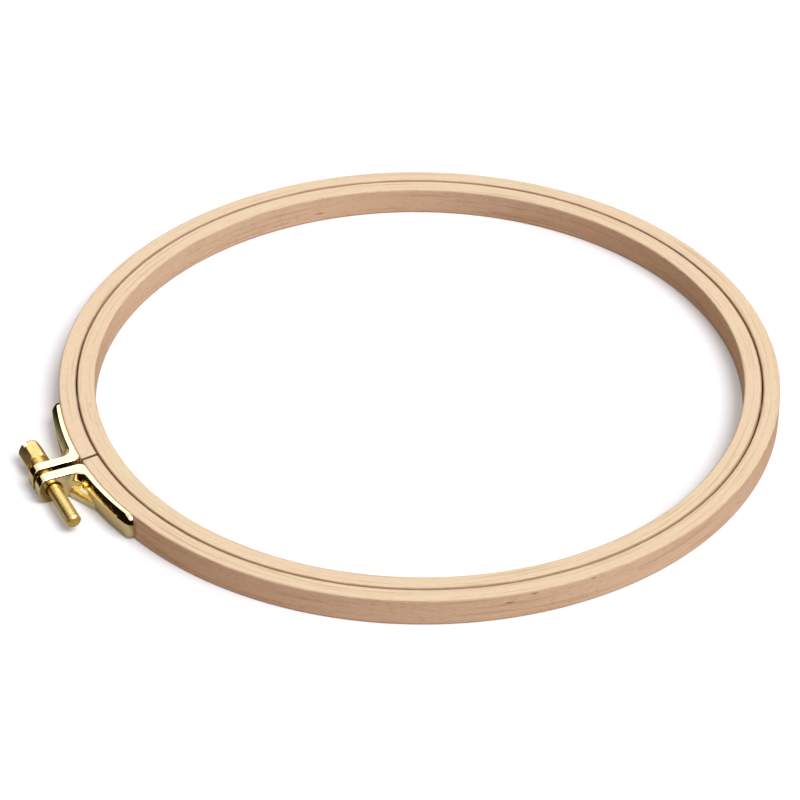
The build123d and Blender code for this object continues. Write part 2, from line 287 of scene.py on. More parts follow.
def stripTree():
    # A strip of rounded rectangular section bent round the origin, in millimetres.
    # Its length runs along X from 0 to 1 before it is bent.
    numbers = ("Middle Radius", "Wall", "Depth", "Edge Radius", "Start Turn", "Start Shift", "End Turn",
               "End Shift", "Start Slant", "End Slant", "Saw Roughness", "Thinning")
    tree, add, given = newShapeTree("bentStrip", numbers, ("Steps", "Profile Points"), ["Capped"])
    spine = add("GeometryNodeCurvePrimitiveLine", {"End": (1.0, 0.0, 0.0)})
    spine = add("GeometryNodeResampleCurve", {0: spine, "Count": given["Steps"]}, mode="COUNT")
    section = add("GeometryNodeCurvePrimitiveQuadrilateral",
            {"Width": given["Wall"], "Height": given["Depth"]}, mode="RECTANGLE")
    section = add("GeometryNodeFilletCurve", {0: section, "Radius": given["Edge Radius"],
            "Count": rings["cornerPoints"]}, mode="POLY")
    section = add("GeometryNodeResampleCurve", {0: section, "Count": given["Profile Points"]},
            mode="COUNT")
    strip = add("GeometryNodeCurveToMesh", {0: spine, 1: section, "Fill Caps": given["Capped"]})

    position = add("GeometryNodeInputPosition")
    place = add("ShaderNodeSeparateXYZ", [position]).outputs
    radial = add("ShaderNodeMath", [place["Y"], given["Middle Radius"]], operation="ADD")
    ragged = add("ShaderNodeTexNoise", {"Vector": position, "Scale": rings["sawGrain"], "Detail": 3.0})
    ragged = add("ShaderNodeMath", [ragged, 0.5], operation="SUBTRACT")
    ragged = add("ShaderNodeMath", [ragged, given["Saw Roughness"]], operation="MULTIPLY")
    turns = []
    for end in ("Start", "End"):
        slanted = add("ShaderNodeMath", [place["Y"], given[end + " Slant"], given[end + " Shift"]],
                operation="MULTIPLY_ADD")
        rough = add("ShaderNodeMath", [slanted, ragged], operation="ADD")
        bent = add("ShaderNodeMath", [rough, radial], operation="DIVIDE")
        turns.append(add("ShaderNodeMath", [bent, given[end + " Turn"]], operation="ADD"))
    angle = add("ShaderNodeMix", {"Factor": place["X"], "A": turns[0], "B": turns[1]}, data_type="FLOAT",
            clamp_factor=False)

    # what the wood grain follows: along the strip, across it, and up, in millimetres
    along = add("ShaderNodeMath", [angle, given["Middle Radius"]], operation="MULTIPLY")
    grain = add("ShaderNodeCombineXYZ", [along, radial, place["Z"]])
    strip = add("GeometryNodeStoreNamedAttribute", {0: strip, "Name": "grain", "Value": grain},
            data_type="FLOAT_VECTOR", domain="CORNER")

    # bent round, then thinned unevenly
    sine, cosine = (add("ShaderNodeMath", [angle], operation=name) for name in ("SINE", "COSINE"))
    roundX = add("ShaderNodeMath", [sine, radial], operation="MULTIPLY")
    roundY = add("ShaderNodeMath", [cosine, radial], operation="MULTIPLY")
    bentPlace = add("ShaderNodeCombineXYZ", [roundX, roundY, place["Z"]])
    uneven = add("ShaderNodeTexNoise",
            {"Vector": bentPlace, "Scale": rings["thinningGrain"], "Detail": 3.0})
    kept = add("ShaderNodeMath", [uneven, given["Thinning"]], operation="MULTIPLY")
    kept = add("ShaderNodeMath", [1.0, kept], operation="SUBTRACT")
    thinned = add("ShaderNodeMath", [place["Y"], kept, given["Middle Radius"]], operation="MULTIPLY_ADD")
    lowered = add("ShaderNodeMath", [uneven, -0.010, 1.0], operation="MULTIPLY_ADD")
    level = add("ShaderNodeMath", [place["Z"], lowered], operation="MULTIPLY")
    finalX = add("ShaderNodeMath", [sine, thinned], operation="MULTIPLY")
    finalY = add("ShaderNodeMath", [cosine, thinned], operation="MULTIPLY")
    finalPlace = add("ShaderNodeCombineXYZ", [finalX, finalY, level])
    strip = add("GeometryNodeSetPosition", {0: strip, "Position": finalPlace})
    return closeShapeTree(tree, strip, rings["weld"], given["Material"])


def meshFromTree(name, tree, values):
    # Runs a node tree with those inputs and keeps the result as a plain mesh object
    holder = newObject(name, bpy.data.meshes.new(name + "Holder"))
    modifier = holder.modifiers.new("tree", "NODES")
    modifier.node_group = tree
    identifiers = {item.name: item.identifier for item in tree.interface.items_tree
                   if item.in_out == "INPUT"}
    for key, value in values.items():
        modifier[identifiers[key]] = value
    return bakedMesh(holder, name)


def bakedMesh(holder, name):
    # The object's evaluated shape as a new plain object of that name; the holder goes
    holder.name = name + "Before"
    depsgraph = bpy.context.evaluated_depsgraph_get()
    mesh = bpy.data.meshes.new_from_object(holder.evaluated_get(depsgraph), depsgraph=depsgraph)
    mesh.name = name
    bpy.data.objects.remove(holder)
    return newObject(name, mesh)


def loftMesh(name, rows, material=None):
    # Closed rings of points, joined row to row and closed at both ends, millimetres
    count = len(rows[0])
    faces = [list(range(count)), list(range((len(rows) - 1) * count, len(rows) * count))]
    for row in range(len(rows) - 1):
        for place in range(count):
            following = (place + 1) % count
            faces.append([row * count + place, row * count + following,
                          (row + 1) * count + following, (row + 1) * count + place])
    mesh = bpy.data.meshes.new(name)
    mesh.from_pydata([Vector(point) * mm for row in rows for point in row], [], faces)
    work = bmesh.new()
    work.from_mesh(mesh)
    bmesh.ops.recalc_face_normals(work, faces=work.faces)
    work.to_mesh(mesh)
    work.free()
    if material:
        mesh.materials.append(material)
    return newObject(name, mesh)


def cutOrFuse(piece, tools, operation):
    # Boolean with each tool, in millimetres for the solver's sake; the tools go afterwards
    for item in (piece, *tools):
        item.data.transform(Matrix.Scale(1 / mm, 4))
    for tool in tools:
        modifier = piece.modifiers.new("boolean", "BOOLEAN")
        modifier.operation = operation
        modifier.solver = "EXACT"
        modifier.object = tool
    made = bakedMesh(piece, piece.name)
    made.data.transform(Matrix.Scale(mm, 4))
    for tool in tools:
        bpy.data.objects.remove(tool)
    return made


def smoothBelow(piece, degrees):
    # Smooth shading where faces meet at a smaller angle, crisp edges elsewhere
    piece.data.polygons.foreach_set("use_smooth", [True] * len(piece.data.polygons))
    piece.data.set_sharp_from_angle(angle=math.radians(degrees))
    weighted = piece.modifiers.new("weighted", "WEIGHTED_NORMAL")
    weighted.keep_sharp = True
    return bakedMesh(piece, piece.name)


def circleRow(place, radius, axisY, axisZ, points):
    # Ring of points about a line along X
    row = []
    for step in range(points):
        turn = 2 * math.pi * step / points
        row.append((place, axisY + radius * math.cos(turn), axisZ + radius * math.sin(turn)))
    return row


pins = {"shank": 1.2, "head": 2.3, "headDepth": 0.7, "recess": 0.15, "fit": 0.05,
        "rootDistance": 9.5, "tipDistance": 22.0, "holePoints": 32}


def pinHole(distance):
    # Countersunk hole through the outer ring from inside, cut a little past both faces
    start = outerInside + pins["recess"]
    shank = pins["shank"] / 2 + pins["fit"]
    head = pins["head"] / 2 + pins["fit"]
    stations = [(outerInside - 1.0, head), (start, head), (start + pins["headDepth"], shank),
                (outerOutside + 1.0, shank)]
    tool = loftMesh("pinHole", [circleRow(place, radius, 0.0, 0.0, pins["holePoints"])
                                for place, radius in stations])
    turn = math.pi / 2 - distance / outerOutside
    tool.data.transform(Matrix.Rotation(turn, 4, "Z"))
    return tool


stripNodes = stripTree()
sawHalf = rings["sawGap"] / 2 / math.cos(math.radians(rings["sawSkew"]))
sawSlant = -math.tan(math.radians(rings["sawSkew"]))
scarfSlant = rings["scarfLength"] / rings["innerWall"]
common = {"Depth": rings["depth"], "Edge Radius": rings["edge"], "Thinning": rings["thinning"],
          "Profile Points": rings["profilePoints"]}
innerRing = meshFromTree("inner_ring_strip", stripNodes, {
    **common, "Middle Radius": innerMiddle, "Wall": rings["innerWall"],
    "Start Turn": math.radians(rings["scarfTurn"] - 360), "Start Slant": scarfSlant,
    "End Turn": math.radians(rings["scarfTurn"]), "End Slant": scarfSlant,
    "Steps": rings["stepsAround"] + 1, "Capped": False, "Material": innerBeech})
fixedHalf = meshFromTree("outer_ring_plain_side", stripNodes, {
    **common, "Middle Radius": outerMiddle, "Wall": rings["outerWall"],
    "Start Turn": 0.0, "Start Shift": rings["sawOffset"] + sawHalf, "Start Slant": sawSlant,
    "End Turn": math.pi, "Saw Roughness": rings["sawRoughness"],
    "Steps": rings["stepsAround"] // 2 + 1, "Capped": True, "Material": outerBeech})
swingHalf = meshFromTree("outer_ring_tapped_side", stripNodes, {
    **common, "Middle Radius": outerMiddle, "Wall": rings["outerWall"],
    "Start Turn": math.pi, "End Turn": 2 * math.pi, "End Shift": rings["sawOffset"] - sawHalf,
    "End Slant": sawSlant, "Saw Roughness": rings["sawRoughness"],
    "Steps": rings["stepsAround"] // 2 + 1, "Capped": True, "Material": outerBeech})
distances = (pins["rootDistance"], pins["tipDistance"])
fixedHalf = cutOrFuse(fixedHalf, [pinHole(distance) for distance in distances], "DIFFERENCE")
swingHalf = cutOrFuse(swingHalf, [pinHole(-distance) for distance in distances], "DIFFERENCE")
fixedHalf = smoothBelow(fixedHalf, rings["smoothBelow"])
swingHalf = smoothBelow(swingHalf, rings["smoothBelow"])
print("wooden strips made", len(innerRing.data.polygons), len(fixedHalf.data.polygons))

brackets = {
    "seat": 0.05, "lugGap": 1.9, "lugThickness": 2.8, "lugReach": 14.1, "lugEndRadius": 3.2,
    "lugBulge": 0.3, "lugCorner": 0.256, "rimBevel": 0.4, "widestLevel": 1.6,
    "wingLength": 29.0, "rootRim": 1.45, "tipRim": 0.9, "wingBulge": 1.25, "tipRadius": 2.9,
    "noseRadius": 2.0, "noseRest": 0.12, "tipCorner": 0.06, "cornerRadius": 3.4, "heelRadius": 1.8,
    "footBulge": 0.65, "footHeight": 0.8, "footInset": 0.35,
    "gussetOut": 3.4, "gussetAlong": 8.6, "gussetInLug": 0.25, "gussetInWing": 0.35,
    # its free edge: level, inset
    "gussetEdge": [(-1.7, 0.0), (-0.6, 0.72), (-0.5, 0.82), (-0.44, 0.94), (-0.42, 1.1)],
    "gussetRise": 0.95,     # of its top towards the corner
    "softness": 0.16,       # rounding that polishing leaves on the edges
    "levelStep": 0.028,     # least height between two rows of points
    "plainHole": 2.05, "tappedHole": 2.3, "holeBevel": 0.3, "screwInset": 4.45,
    "wingSteps": 34, "noseSteps": 12, "holePoints": 64, "smoothBelow": 35,
}
wingInside = outerOutside + brackets["seat"]
lugInner = brackets["lugGap"] / 2
lugRim = lugInner + brackets["lugThickness"]
lugOuter = lugRim + brackets["lugBulge"]
lugEnd = outerOutside + brackets["lugReach"]
screwAxis = lugEnd - brackets["screwInset"]
tipTurn = brackets["wingLength"] / outerOutside


def arcRow(centreX, centreY, radius, startTurn, endTurn, points):
    # Points on an arc, turns counted from +X towards +Y, both ends included
    row = []
    for step in range(points):
        turn = startTurn + (endTurn - startTurn) * step / (points - 1)
        row.append((centreX + radius * math.cos(turn), centreY + radius * math.sin(turn)))
    return row


def onCircle(radius, turn):
    # Point about the hoop's centre, its turn counted from +Y towards +X
    return (radius * math.sin(turn), radius * math.cos(turn))


def lineRow(start, end, points):
    # Points on a line without its two ends
    return [(start[0] + (end[0] - start[0]) * step / (points + 1),
             start[1] + (end[1] - start[1]) * step / (points + 1)) for step in range(1, points + 1)]


def bulgeAt(level):
    # (lug face, wing bulge) at a level, its ridges softened by averaging around it
    top = halfDepth - brackets["rimBevel"]
    lean = brackets["wingBulge"] * brackets["rimBevel"] / (halfDepth - brackets["widestLevel"])
    table = [
        (-halfDepth, lugOuter - brackets["footInset"], brackets["footBulge"] - brackets["footInset"]),
        (-halfDepth + brackets["footHeight"], lugOuter, brackets["footBulge"]),
        (brackets["widestLevel"], lugOuter, brackets["wingBulge"]),
        (top, lugOuter, lean),
        (halfDepth, lugRim, 0.0),
    ]
    found = [0.0, 0.0]
    samples = 9
    for sample in range(samples):
        here = level + (sample / (samples - 1) - 0.5) * 2 * brackets["softness"]
        here = min(max(here, -halfDepth), halfDepth)
        for low, high in zip(table, table[1:]):
            if low[0] <= here <= high[0]:
                share = (here - low[0]) / (high[0] - low[0])
                found[0] += (low[1] + (high[1] - low[1]) * share) / samples
                found[1] += (low[2] + (high[2] - low[2]) * share) / samples
                break
    return found


def endInset(level, radius):
    # How far an end or edge of that rounding lies back at a level
    over = abs(level) - (halfDepth - radius)
    return 0.0 if over <= 0 else radius - math.sqrt(max(radius ** 2 - over ** 2, 0.0))


def bracketRow(level, inset):
    # Outline of the +X bracket at one level, drawn in by inset
    lugFace, bulge = bulgeAt(level)
    soft = brackets["lugCorner"]
    endY = lugEnd - endInset(level, brackets["lugEndRadius"])
    back = endInset(level, brackets["tipRadius"])
    rootRadius = wingInside + brackets["rootRim"] + bulge
    tipRadius = wingInside + brackets["tipRim"] + bulge
    arcCentre = (rootRadius ** 2 - tipRadius ** 2) / (2 * (rootRadius - tipRadius * math.cos(tipTurn)))
    arcRadius = rootRadius - arcCentre
    corner = brackets["cornerRadius"]
    heel = brackets["heelRadius"]
    hollowX = lugFace + corner
    hollowY = arcCentre + math.sqrt((arcRadius + corner) ** 2 - hollowX ** 2)
    heelX = lugInner + heel
    heelY = math.sqrt((wingInside + heel) ** 2 - heelX ** 2)
    row = lineRow((lugInner, heelY), (lugInner, endY - soft), 10)
    row += arcRow(lugInner + soft, endY - soft, soft, math.pi, math.pi / 2, 6)
    row += lineRow((lugInner + soft, endY), (lugFace - soft, endY), 5)
    row += arcRow(lugFace - soft, endY - soft, soft, math.pi / 2, 0.0, 6)
    row += lineRow((lugFace, endY - soft), (lugFace, hollowY), 10)
    hollowEnd = math.pi + math.atan2(hollowY - arcCentre, hollowX)
    row += arcRow(hollowX, hollowY, corner, math.pi, hollowEnd, 16)
    # the wing's outer arc, counted by the angle from +Y about the hoop's centre
    share = arcRadius / (arcRadius + corner)
    startTurn = math.atan2(hollowX * share, arcCentre + (hollowY - arcCentre) * share)
    reach = wingInside + brackets["tipRim"] + bulge
    endTurn = tipTurn - math.asin(back / reach)
    nose = min(brackets["noseRadius"], brackets["tipRim"] + bulge - brackets["noseRest"])
    steps = brackets["wingSteps"]
    for step in range(1, steps + 1):
        turn = startTurn + (endTurn - nose / reach - startTurn) * step / steps
        aside = arcCentre * math.sin(turn)
        radius = arcCentre * math.cos(turn) + math.sqrt(arcRadius ** 2 - aside ** 2)
        row.append(onCircle(radius, turn))
    # the tip, rounded from the outer face to its end, then a little corner on the wood
    seatTurn = tipTurn - math.asin(back / wingInside)
    endWay = Vector(onCircle(1.0, endTurn))
    alongWay = Vector((endWay.y, -endWay.x))
    noseCentre = endWay * (reach - nose) - alongWay * nose
    for step in range(1, brackets["noseSteps"] + 1):
        turn = math.pi / 2 * step / brackets["noseSteps"]
        point = noseCentre + endWay * nose * math.cos(turn) + alongWay * nose * math.sin(turn)
        row.append(tuple(point))
    outerFoot = row[-1]
    cornerSoft = brackets["tipCorner"]
    seatBegin = seatTurn - cornerSoft / wingInside
    innerCorner = onCircle(wingInside, seatTurn)
    width = math.dist(outerFoot, innerCorner)
    cut = min(cornerSoft, width * 0.4) / width
    fromInner = [innerCorner[k] + (outerFoot[k] - innerCorner[k]) * cut for k in (0, 1)]
    beside = onCircle(wingInside, seatBegin)
    row += lineRow(outerFoot, fromInner, 2)
    row.append(tuple(fromInner))
    for step in range(1, 4):
        share = step / 3
        row.append(tuple(fromInner[k] * (1 - share) ** 2 + 2 * innerCorner[k] * share * (1 - share)
                         + beside[k] * share ** 2 for k in (0, 1)))
    heelShare = wingInside / (wingInside + heel)
    seatEnd = math.atan2(heelX * heelShare, heelY * heelShare)
    row += [onCircle(wingInside, seatBegin + (seatEnd - seatBegin) * step / steps)
            for step in range(1, steps + 1)]
    heelStart = math.atan2(-heelY, -heelX)
    row += arcRow(heelX, heelY, heel, heelStart, -math.pi, 10)[1:]
    if inset:
        count = len(row)
        drawn = []
        for place in range(count):
            before, after = Vector(row[place - 1]), Vector(row[(place + 1) % count])
            along = (after - before).normalized()
            drawn.append((row[place][0] + along.y * inset, row[place][1] - along.x * inset))
        row = drawn
    return [(x, y, level) for x, y in row]


def spaced(levels):
    # The levels in turn, without those too close to the last one kept
    kept = [levels[0]]
    for level in levels[1:]:
        if abs(level - kept[-1]) > brackets["levelStep"]:
            kept.append(level)
    return kept


def bracketLevels():
    # Levels from foot to rim, close together where the profile turns
    soft = brackets["softness"]
    upper, lower = [], []
    for turn in range(0, 91, 15):
        rounding = soft * (1 - math.sin(math.radians(turn)))
        upper.append(halfDepth - rounding)
        lower.append(-halfDepth + rounding)
    for turn in range(0, 86, 8):
        for radius in (brackets["lugEndRadius"], brackets["tipRadius"]):
            upper.append(halfDepth - radius + radius * math.sin(math.radians(turn)))
    for turn in range(0, 86, 9):
        lower.append(-halfDepth + brackets["tipRadius"] * (1 - math.sin(math.radians(turn))))
    for step in range(-3, 4):
        for ridge in (brackets["widestLevel"], halfDepth - brackets["rimBevel"]):
            upper.append(ridge + step * soft / 2.5)
        lower.append(-halfDepth + brackets["footHeight"] + step * soft / 2.5)
    upper = {level for level in (round(level, 4) for level in upper) if 0 < level <= halfDepth}
    lower = {round(level, 4) for level in lower}
    return spaced(sorted(lower)) + sorted(spaced(sorted(upper, reverse=True)))


def gussetPiece(material):
    # Web in the hollow, its top near mid depth and rising to the corner, its free edge steep
    faceRadius = wingInside + brackets["rootRim"] + brackets["footBulge"]
    lugMiddle = (lugInner + lugOuter) / 2
    wingMiddle = wingInside + (brackets["rootRim"] + brackets["footBulge"]) / 2
    wingRoot = wingInside + brackets["gussetInWing"]
    turn = (lugOuter + brackets["gussetAlong"]) / faceRadius
    high = Vector((lugOuter, faceRadius + brackets["gussetOut"]))
    far = Vector(onCircle(faceRadius, turn))
    slope = (far - high).normalized()
    inward = Vector((slope.y, -slope.x))
    radialWay = Vector(onCircle(1.0, turn))
    rows = []
    edge = brackets["gussetEdge"]
    topLevel, topInset = edge[-1]
    corner = Vector((lugOuter, faceRadius))
    topStart = high + inward * topInset
    rise = brackets["gussetRise"] / (corner - topStart).dot(inward)
    for level, inset in [(-halfDepth + brackets["footHeight"], 0.0)] + edge:
        start = high + inward * inset
        onLug = start + slope * ((high.y - start.y) / slope.y)
        lift = (start - far).dot(inward) / radialWay.dot(inward)
        onWing = far + radialWay * lift
        inLug = Vector((lugInner + brackets["gussetInLug"], high.y))
        points = [Vector((lugMiddle, wingMiddle)), inLug, onLug, onWing, radialWay * wingRoot]
        slopeUp = rise if level == topLevel else 0.0
        rows.append([(point.x, point.y, level + slopeUp * (point - topStart).dot(inward))
                     for point in points])
    return loftMesh("gusset", rows, material)


def makeBracket(name, holeRadius, mirrored, material):
    # The +X bracket with its web and bevelled hole, or the same mirrored
    rows = [bracketRow(level, endInset(level, brackets["softness"])) for level in bracketLevels()]
    piece = loftMesh(name, rows, material)
    piece = cutOrFuse(piece, [gussetPiece(material)], "UNION")
    bevel = brackets["holeBevel"]
    wide = holeRadius + bevel
    stations = [(lugInner - 1, wide), (lugInner, wide), (lugInner + bevel, holeRadius),
                (lugOuter - bevel, holeRadius), (lugOuter, wide), (lugOuter + 1, wide)]
    hole = loftMesh("hole", [circleRow(place, radius, screwAxis, 0.0, brackets["holePoints"])
                             for place, radius in stations])
    piece = cutOrFuse(piece, [hole], "DIFFERENCE")
    if mirrored:
        piece.data.transform(Matrix.Scale(-1, 4, (1, 0, 0)))
        piece.data.flip_normals()
    return smoothBelow(piece, brackets["smoothBelow"])


def metalMaterial(name, look):
    # A metal with patches of a deeper colour that are also duller, and layers of relief
    material, add = newMaterial(name)
    place = add("ShaderNodeTexCoord").outputs["Object"]
    size, detail, roughness = look["patches"]
    patches = add("ShaderNodeTexNoise",
            {"Vector": place, "Scale": 1 / mm / size, "Detail": detail, "Roughness": roughness})
    mask = add("ShaderNodeMapRange", [patches, *look["deepRange"]])
    color = add("ShaderNodeMix", {"Factor": mask, 6: look["color"], 7: look["deep"]}, data_type="RGBA")
    dull = add("ShaderNodeMapRange", [patches, *look["dullRange"]])
    normal = {}
    for turn, stretch, size, detail, strength, depth in look["relief"]:
        stretched = add("ShaderNodeMapping", {"Vector": place, "Rotation": turn, "Scale": stretch})
        grain = add("ShaderNodeTexNoise", {"Vector": stretched, "Scale": 1 / mm / size, "Detail": detail})
        bump = add("ShaderNodeBump",
                {"Strength": strength, "Distance": depth * mm, "Height": grain, **normal})
        normal = {"Normal": bump}
    shader = add("ShaderNodeBsdfPrincipled",
            {"Base Color": color, "Metallic": 1.0, "Roughness": dull, **normal})
    add("ShaderNodeOutputMaterial", {"Surface": shader})
    return material


# Die-cast zinc alloy, tumbled bright and brass plated: pale gold, almost a mirror,
# faintly wavy from the casting, with a few fine scratches.
plating = {
    "color": "F5E5B8", "deep": "E6CE95",
    "patches": (1.3, 6.0, 0.65),            # size, detail and roughness of the noise
    "deepRange": (0.5, 0.75, 0.0, 0.5),     # two noise values, share of deep at both
    "dullRange": (0.35, 0.75, 0.06, 0.16),  # two noise values, roughness at both
    # turn, stretch, size, detail, strength and depth of the waves and of the scratches
    "relief": [((0.0, 0.0, 0.0), (1.0, 1.0, 1.0), 2.6, 2.0, 0.5, 0.03),
               ((0.3, 0.2, 0.7), (1.0, 9.0, 9.0), 3.0, 4.0, 0.25, 0.008)],
}
plateBrass = metalMaterial("brightBrassPlate", plating)
plainBracket = makeBracket("plain_lug_bracket", brackets["plainHole"], False, plateBrass)
tappedBracket = makeBracket("tapped_lug_bracket", brackets["tappedHole"], True, plateBrass)
print("brackets made", len(plainBracket.data.polygons))

screw = {
    "diameter": 4.0, "tail": 15.4, "point": 0.6, "pitch": 0.7, "threadDepth": 0.025,
    "flank": (0.12, 0.86),      # where a thread's flank begins and ends, half a turn being 1
    "turnSteps": 57, "rowsPerPitch": 8, "weld": 0.002, "rodInCollar": 0.6,
    "collar": 5.2, "collarLength": 4.0, "play": 0.05, "collarInHead": 0.3, "collarPoints": 96,
    "collarEdge": ((0.0, 0.22), (0.06, 0.08), (0.22, 0.0)),     # along, inset
    "head": 6.0, "headLength": 7.9, "domeRadius": 1.9, "backChamfer": 0.5, "headPoints": 180,
    "edge": 0.12, "ridgeInset": 0.07, "ridgeSoftness": 0.1,
    "slot": 1.2, "slotDepth": 2.6, "slotTurn": 60.0, "smoothBelow": 40,
}
collarStart = lugOuter + screw["play"]
headStart = collarStart + screw["collarLength"]
headEnd = headStart + screw["headLength"]
tailEnd = lugOuter + screw["tail"]
# Turned brass, left bare: warmer and duller than the plating, with fine rings from the lathe.
turned = {
    "color": "E6C583", "deep": "CFA65C",
    "patches": (1.8, 5.0, 0.6), "deepRange": (0.42, 0.72, 0.0, 0.6), "dullRange": (0.35, 0.7, 0.29, 0.44),
    "relief": [((0.0, 0.0, 0.0), (1.0, 0.06, 0.06), 0.16, 2.0, 0.35, 0.012)],
}


def threadTree():
    # A threaded rod along X: a grid rolled round the axis, its rows leaning by one pitch
    # a turn, so that each crest follows its helix. Millimetres.
    numbers = ("Radius", "Pitch", "Depth", "Start", "End", "Point", "Axis Y")
    tree, add, given = newShapeTree("threadedRod", numbers, ("Segments", "Rows"))
    grid = add("GeometryNodeMeshGrid",
            {"Size X": 1.0, "Size Y": 1.0, "Vertices X": given["Rows"], "Vertices Y": given["Segments"]})
    place = add("ShaderNodeSeparateXYZ", [add("GeometryNodeInputPosition")]).outputs
    share = add("ShaderNodeMath", [place["X"], 0.5], operation="ADD")
    turnShare = add("ShaderNodeMath", [place["Y"], 0.5], operation="ADD")
    turn = add("ShaderNodeMath", [turnShare, 2 * math.pi], operation="MULTIPLY")
    lead = add("ShaderNodeMath", [turnShare, given["Pitch"]], operation="MULTIPLY")
    # rows run from two pitches before the start to two past the end, and are held at the ends
    before = add("ShaderNodeMath", [given["Pitch"], -2.0, given["Start"]], operation="MULTIPLY_ADD")
    after = add("ShaderNodeMath", [given["Pitch"], 2.0, given["End"]], operation="MULTIPLY_ADD")
    row = add("ShaderNodeMix", {"Factor": share, "A": before, "B": after}, data_type="FLOAT",
            clamp_factor=False)
    along = add("ShaderNodeMath", [row, lead], operation="ADD")
    held = add("ShaderNodeMath", [along, given["Start"]], operation="MAXIMUM")
    held = add("ShaderNodeMath", [held, given["End"]], operation="MINIMUM")
    # triangular thread with flattened crest and root, by the row's place within its pitch
    phase = add("ShaderNodeMath", [row, given["Pitch"]], operation="DIVIDE")
    phase = add("ShaderNodeMath", [phase, 1.0], operation="PINGPONG")
    crest = add("ShaderNodeMapRange", [phase, *screw["flank"], 1.0, 0.0])
    cut = add("ShaderNodeMath", [crest, given["Depth"]], operation="MULTIPLY")
    radius = add("ShaderNodeMath", [given["Radius"], cut], operation="SUBTRACT")
    # chamfered point at the start, which is the free end
    fromStart = add("ShaderNodeMath", [held, given["Start"]], operation="SUBTRACT")
    pointed = add("ShaderNodeMath", [given["Radius"], given["Point"]], operation="SUBTRACT")
    pointed = add("ShaderNodeMath", [pointed, fromStart], operation="ADD")
    radius = add("ShaderNodeMath", [radius, pointed], operation="MINIMUM")
    # rows past either end close on the axis
    beyondStart = add("ShaderNodeMath", [given["Start"], along], operation="SUBTRACT")
    beyondEnd = add("ShaderNodeMath", [along, given["End"]], operation="SUBTRACT")
    beyond = add("ShaderNodeMath", [beyondStart, beyondEnd], operation="MAXIMUM")
    limit = add("ShaderNodeMath", [given["Pitch"], 0.3], operation="MULTIPLY")
    stillOpen = add("ShaderNodeMath", [beyond, limit], operation="LESS_THAN")
    radius = add("ShaderNodeMath", [radius, stillOpen], operation="MULTIPLY")
    sine, cosine = (add("ShaderNodeMath", [turn], operation=name) for name in ("SINE", "COSINE"))
    roundY = add("ShaderNodeMath", [cosine, radius, given["Axis Y"]], operation="MULTIPLY_ADD")
    roundZ = add("ShaderNodeMath", [sine, radius], operation="MULTIPLY")
    rolled = add("ShaderNodeCombineXYZ", [held, roundY, roundZ])
    rod = add("GeometryNodeSetPosition", {0: grid, "Position": rolled})
    return closeShapeTree(tree, rod, screw["weld"], given["Material"])


def softMinimum(a, b, blendWidth):
    # The lesser of two radii, with the edge between them rounded
    gap = max(blendWidth - abs(a - b), 0.0) / blendWidth
    return min(a, b) - gap * gap * blendWidth / 4


def screwHead(material):
    # Hexagon with its far end domed, its near end chamfered and its edges softened
    flat, domeRadius, chamfer = screw["head"] / 2, screw["domeRadius"], screw["backChamfer"]
    cornerRadius = flat / math.cos(math.pi / 6)
    straight = headEnd - domeRadius
    chamferEnd = headStart + chamfer
    stations = [headStart + chamfer * step / 5 for step in range(6)]
    stations += [chamferEnd + (straight - chamferEnd) * step / 18 for step in range(1, 19)]
    stations += [straight + domeRadius * math.sin(math.radians(turn)) for turn in range(5, 91, 5)]
    rows = []
    for place in stations:
        dome = cornerRadius
        if place > straight:
            dome += math.sqrt(max(domeRadius ** 2 - (place - straight) ** 2, 0)) - domeRadius
        dome = min(dome, cornerRadius - chamfer + (place - headStart))
        row = []
        for step in range(screw["headPoints"]):
            turn = 2 * math.pi * step / screw["headPoints"]
            within = (turn + math.pi / 6) % (math.pi / 3) - math.pi / 6
            hexagon = softMinimum(flat / math.cos(within), cornerRadius - screw["ridgeInset"],
                                  screw["ridgeSoftness"])
            radius = softMinimum(hexagon, dome, 2 * screw["edge"])
            row.append((place, screwAxis + radius * math.sin(turn), radius * math.cos(turn)))
        rows.append(row)
    return loftMesh("head", rows, material)


def slotTool():
    # The block that cuts the screwdriver slot
    half, long, deep = screw["slot"] / 2, screw["head"], screw["slotDepth"]
    rows = []
    for place in (headEnd - deep, headEnd + 1):
        corners = [(-long, -half), (long, -half), (long, half), (-long, half)]
        rows.append([(place, y, z) for y, z in corners])
    tool = loftMesh("slot", rows)
    tool.data.transform(Matrix.Translation((0, screwAxis * mm, 0)) @
                        Matrix.Rotation(math.radians(screw["slotTurn"]), 4, "X"))
    return tool


turnedBrass = metalMaterial("turnedBrass", turned)
rodStart, rodEnd = -tailEnd, collarStart + screw["rodInCollar"]
rodRows = int((rodEnd - rodStart + 4 * screw["pitch"]) / screw["pitch"] * screw["rowsPerPitch"]) + 1
rod = meshFromTree("clamp_screw_body", threadTree(), {
    "Radius": screw["diameter"] / 2, "Pitch": screw["pitch"], "Depth": screw["threadDepth"],
    "Start": rodStart, "End": rodEnd, "Point": screw["point"], "Axis Y": screwAxis,
    "Segments": screw["turnSteps"], "Rows": rodRows, "Material": turnedBrass})
collarRadius = screw["collar"] / 2
stations = [(collarStart + along, collarRadius - inset) for along, inset in screw["collarEdge"]]
stations += [(headStart - 0.2, collarRadius), (headStart + screw["collarInHead"], collarRadius)]
collar = loftMesh("collar", [circleRow(place, radius, screwAxis, 0.0, screw["collarPoints"])
                             for place, radius in stations], turnedBrass)
head = cutOrFuse(screwHead(turnedBrass), [slotTool()], "DIFFERENCE")
head = cutOrFuse(head, [collar, rod], "UNION")
head.name = "clamp_screw_turned"
clampScrew = smoothBelow(head, screw["smoothBelow"])
print("screw made", len(clampScrew.data.polygons))

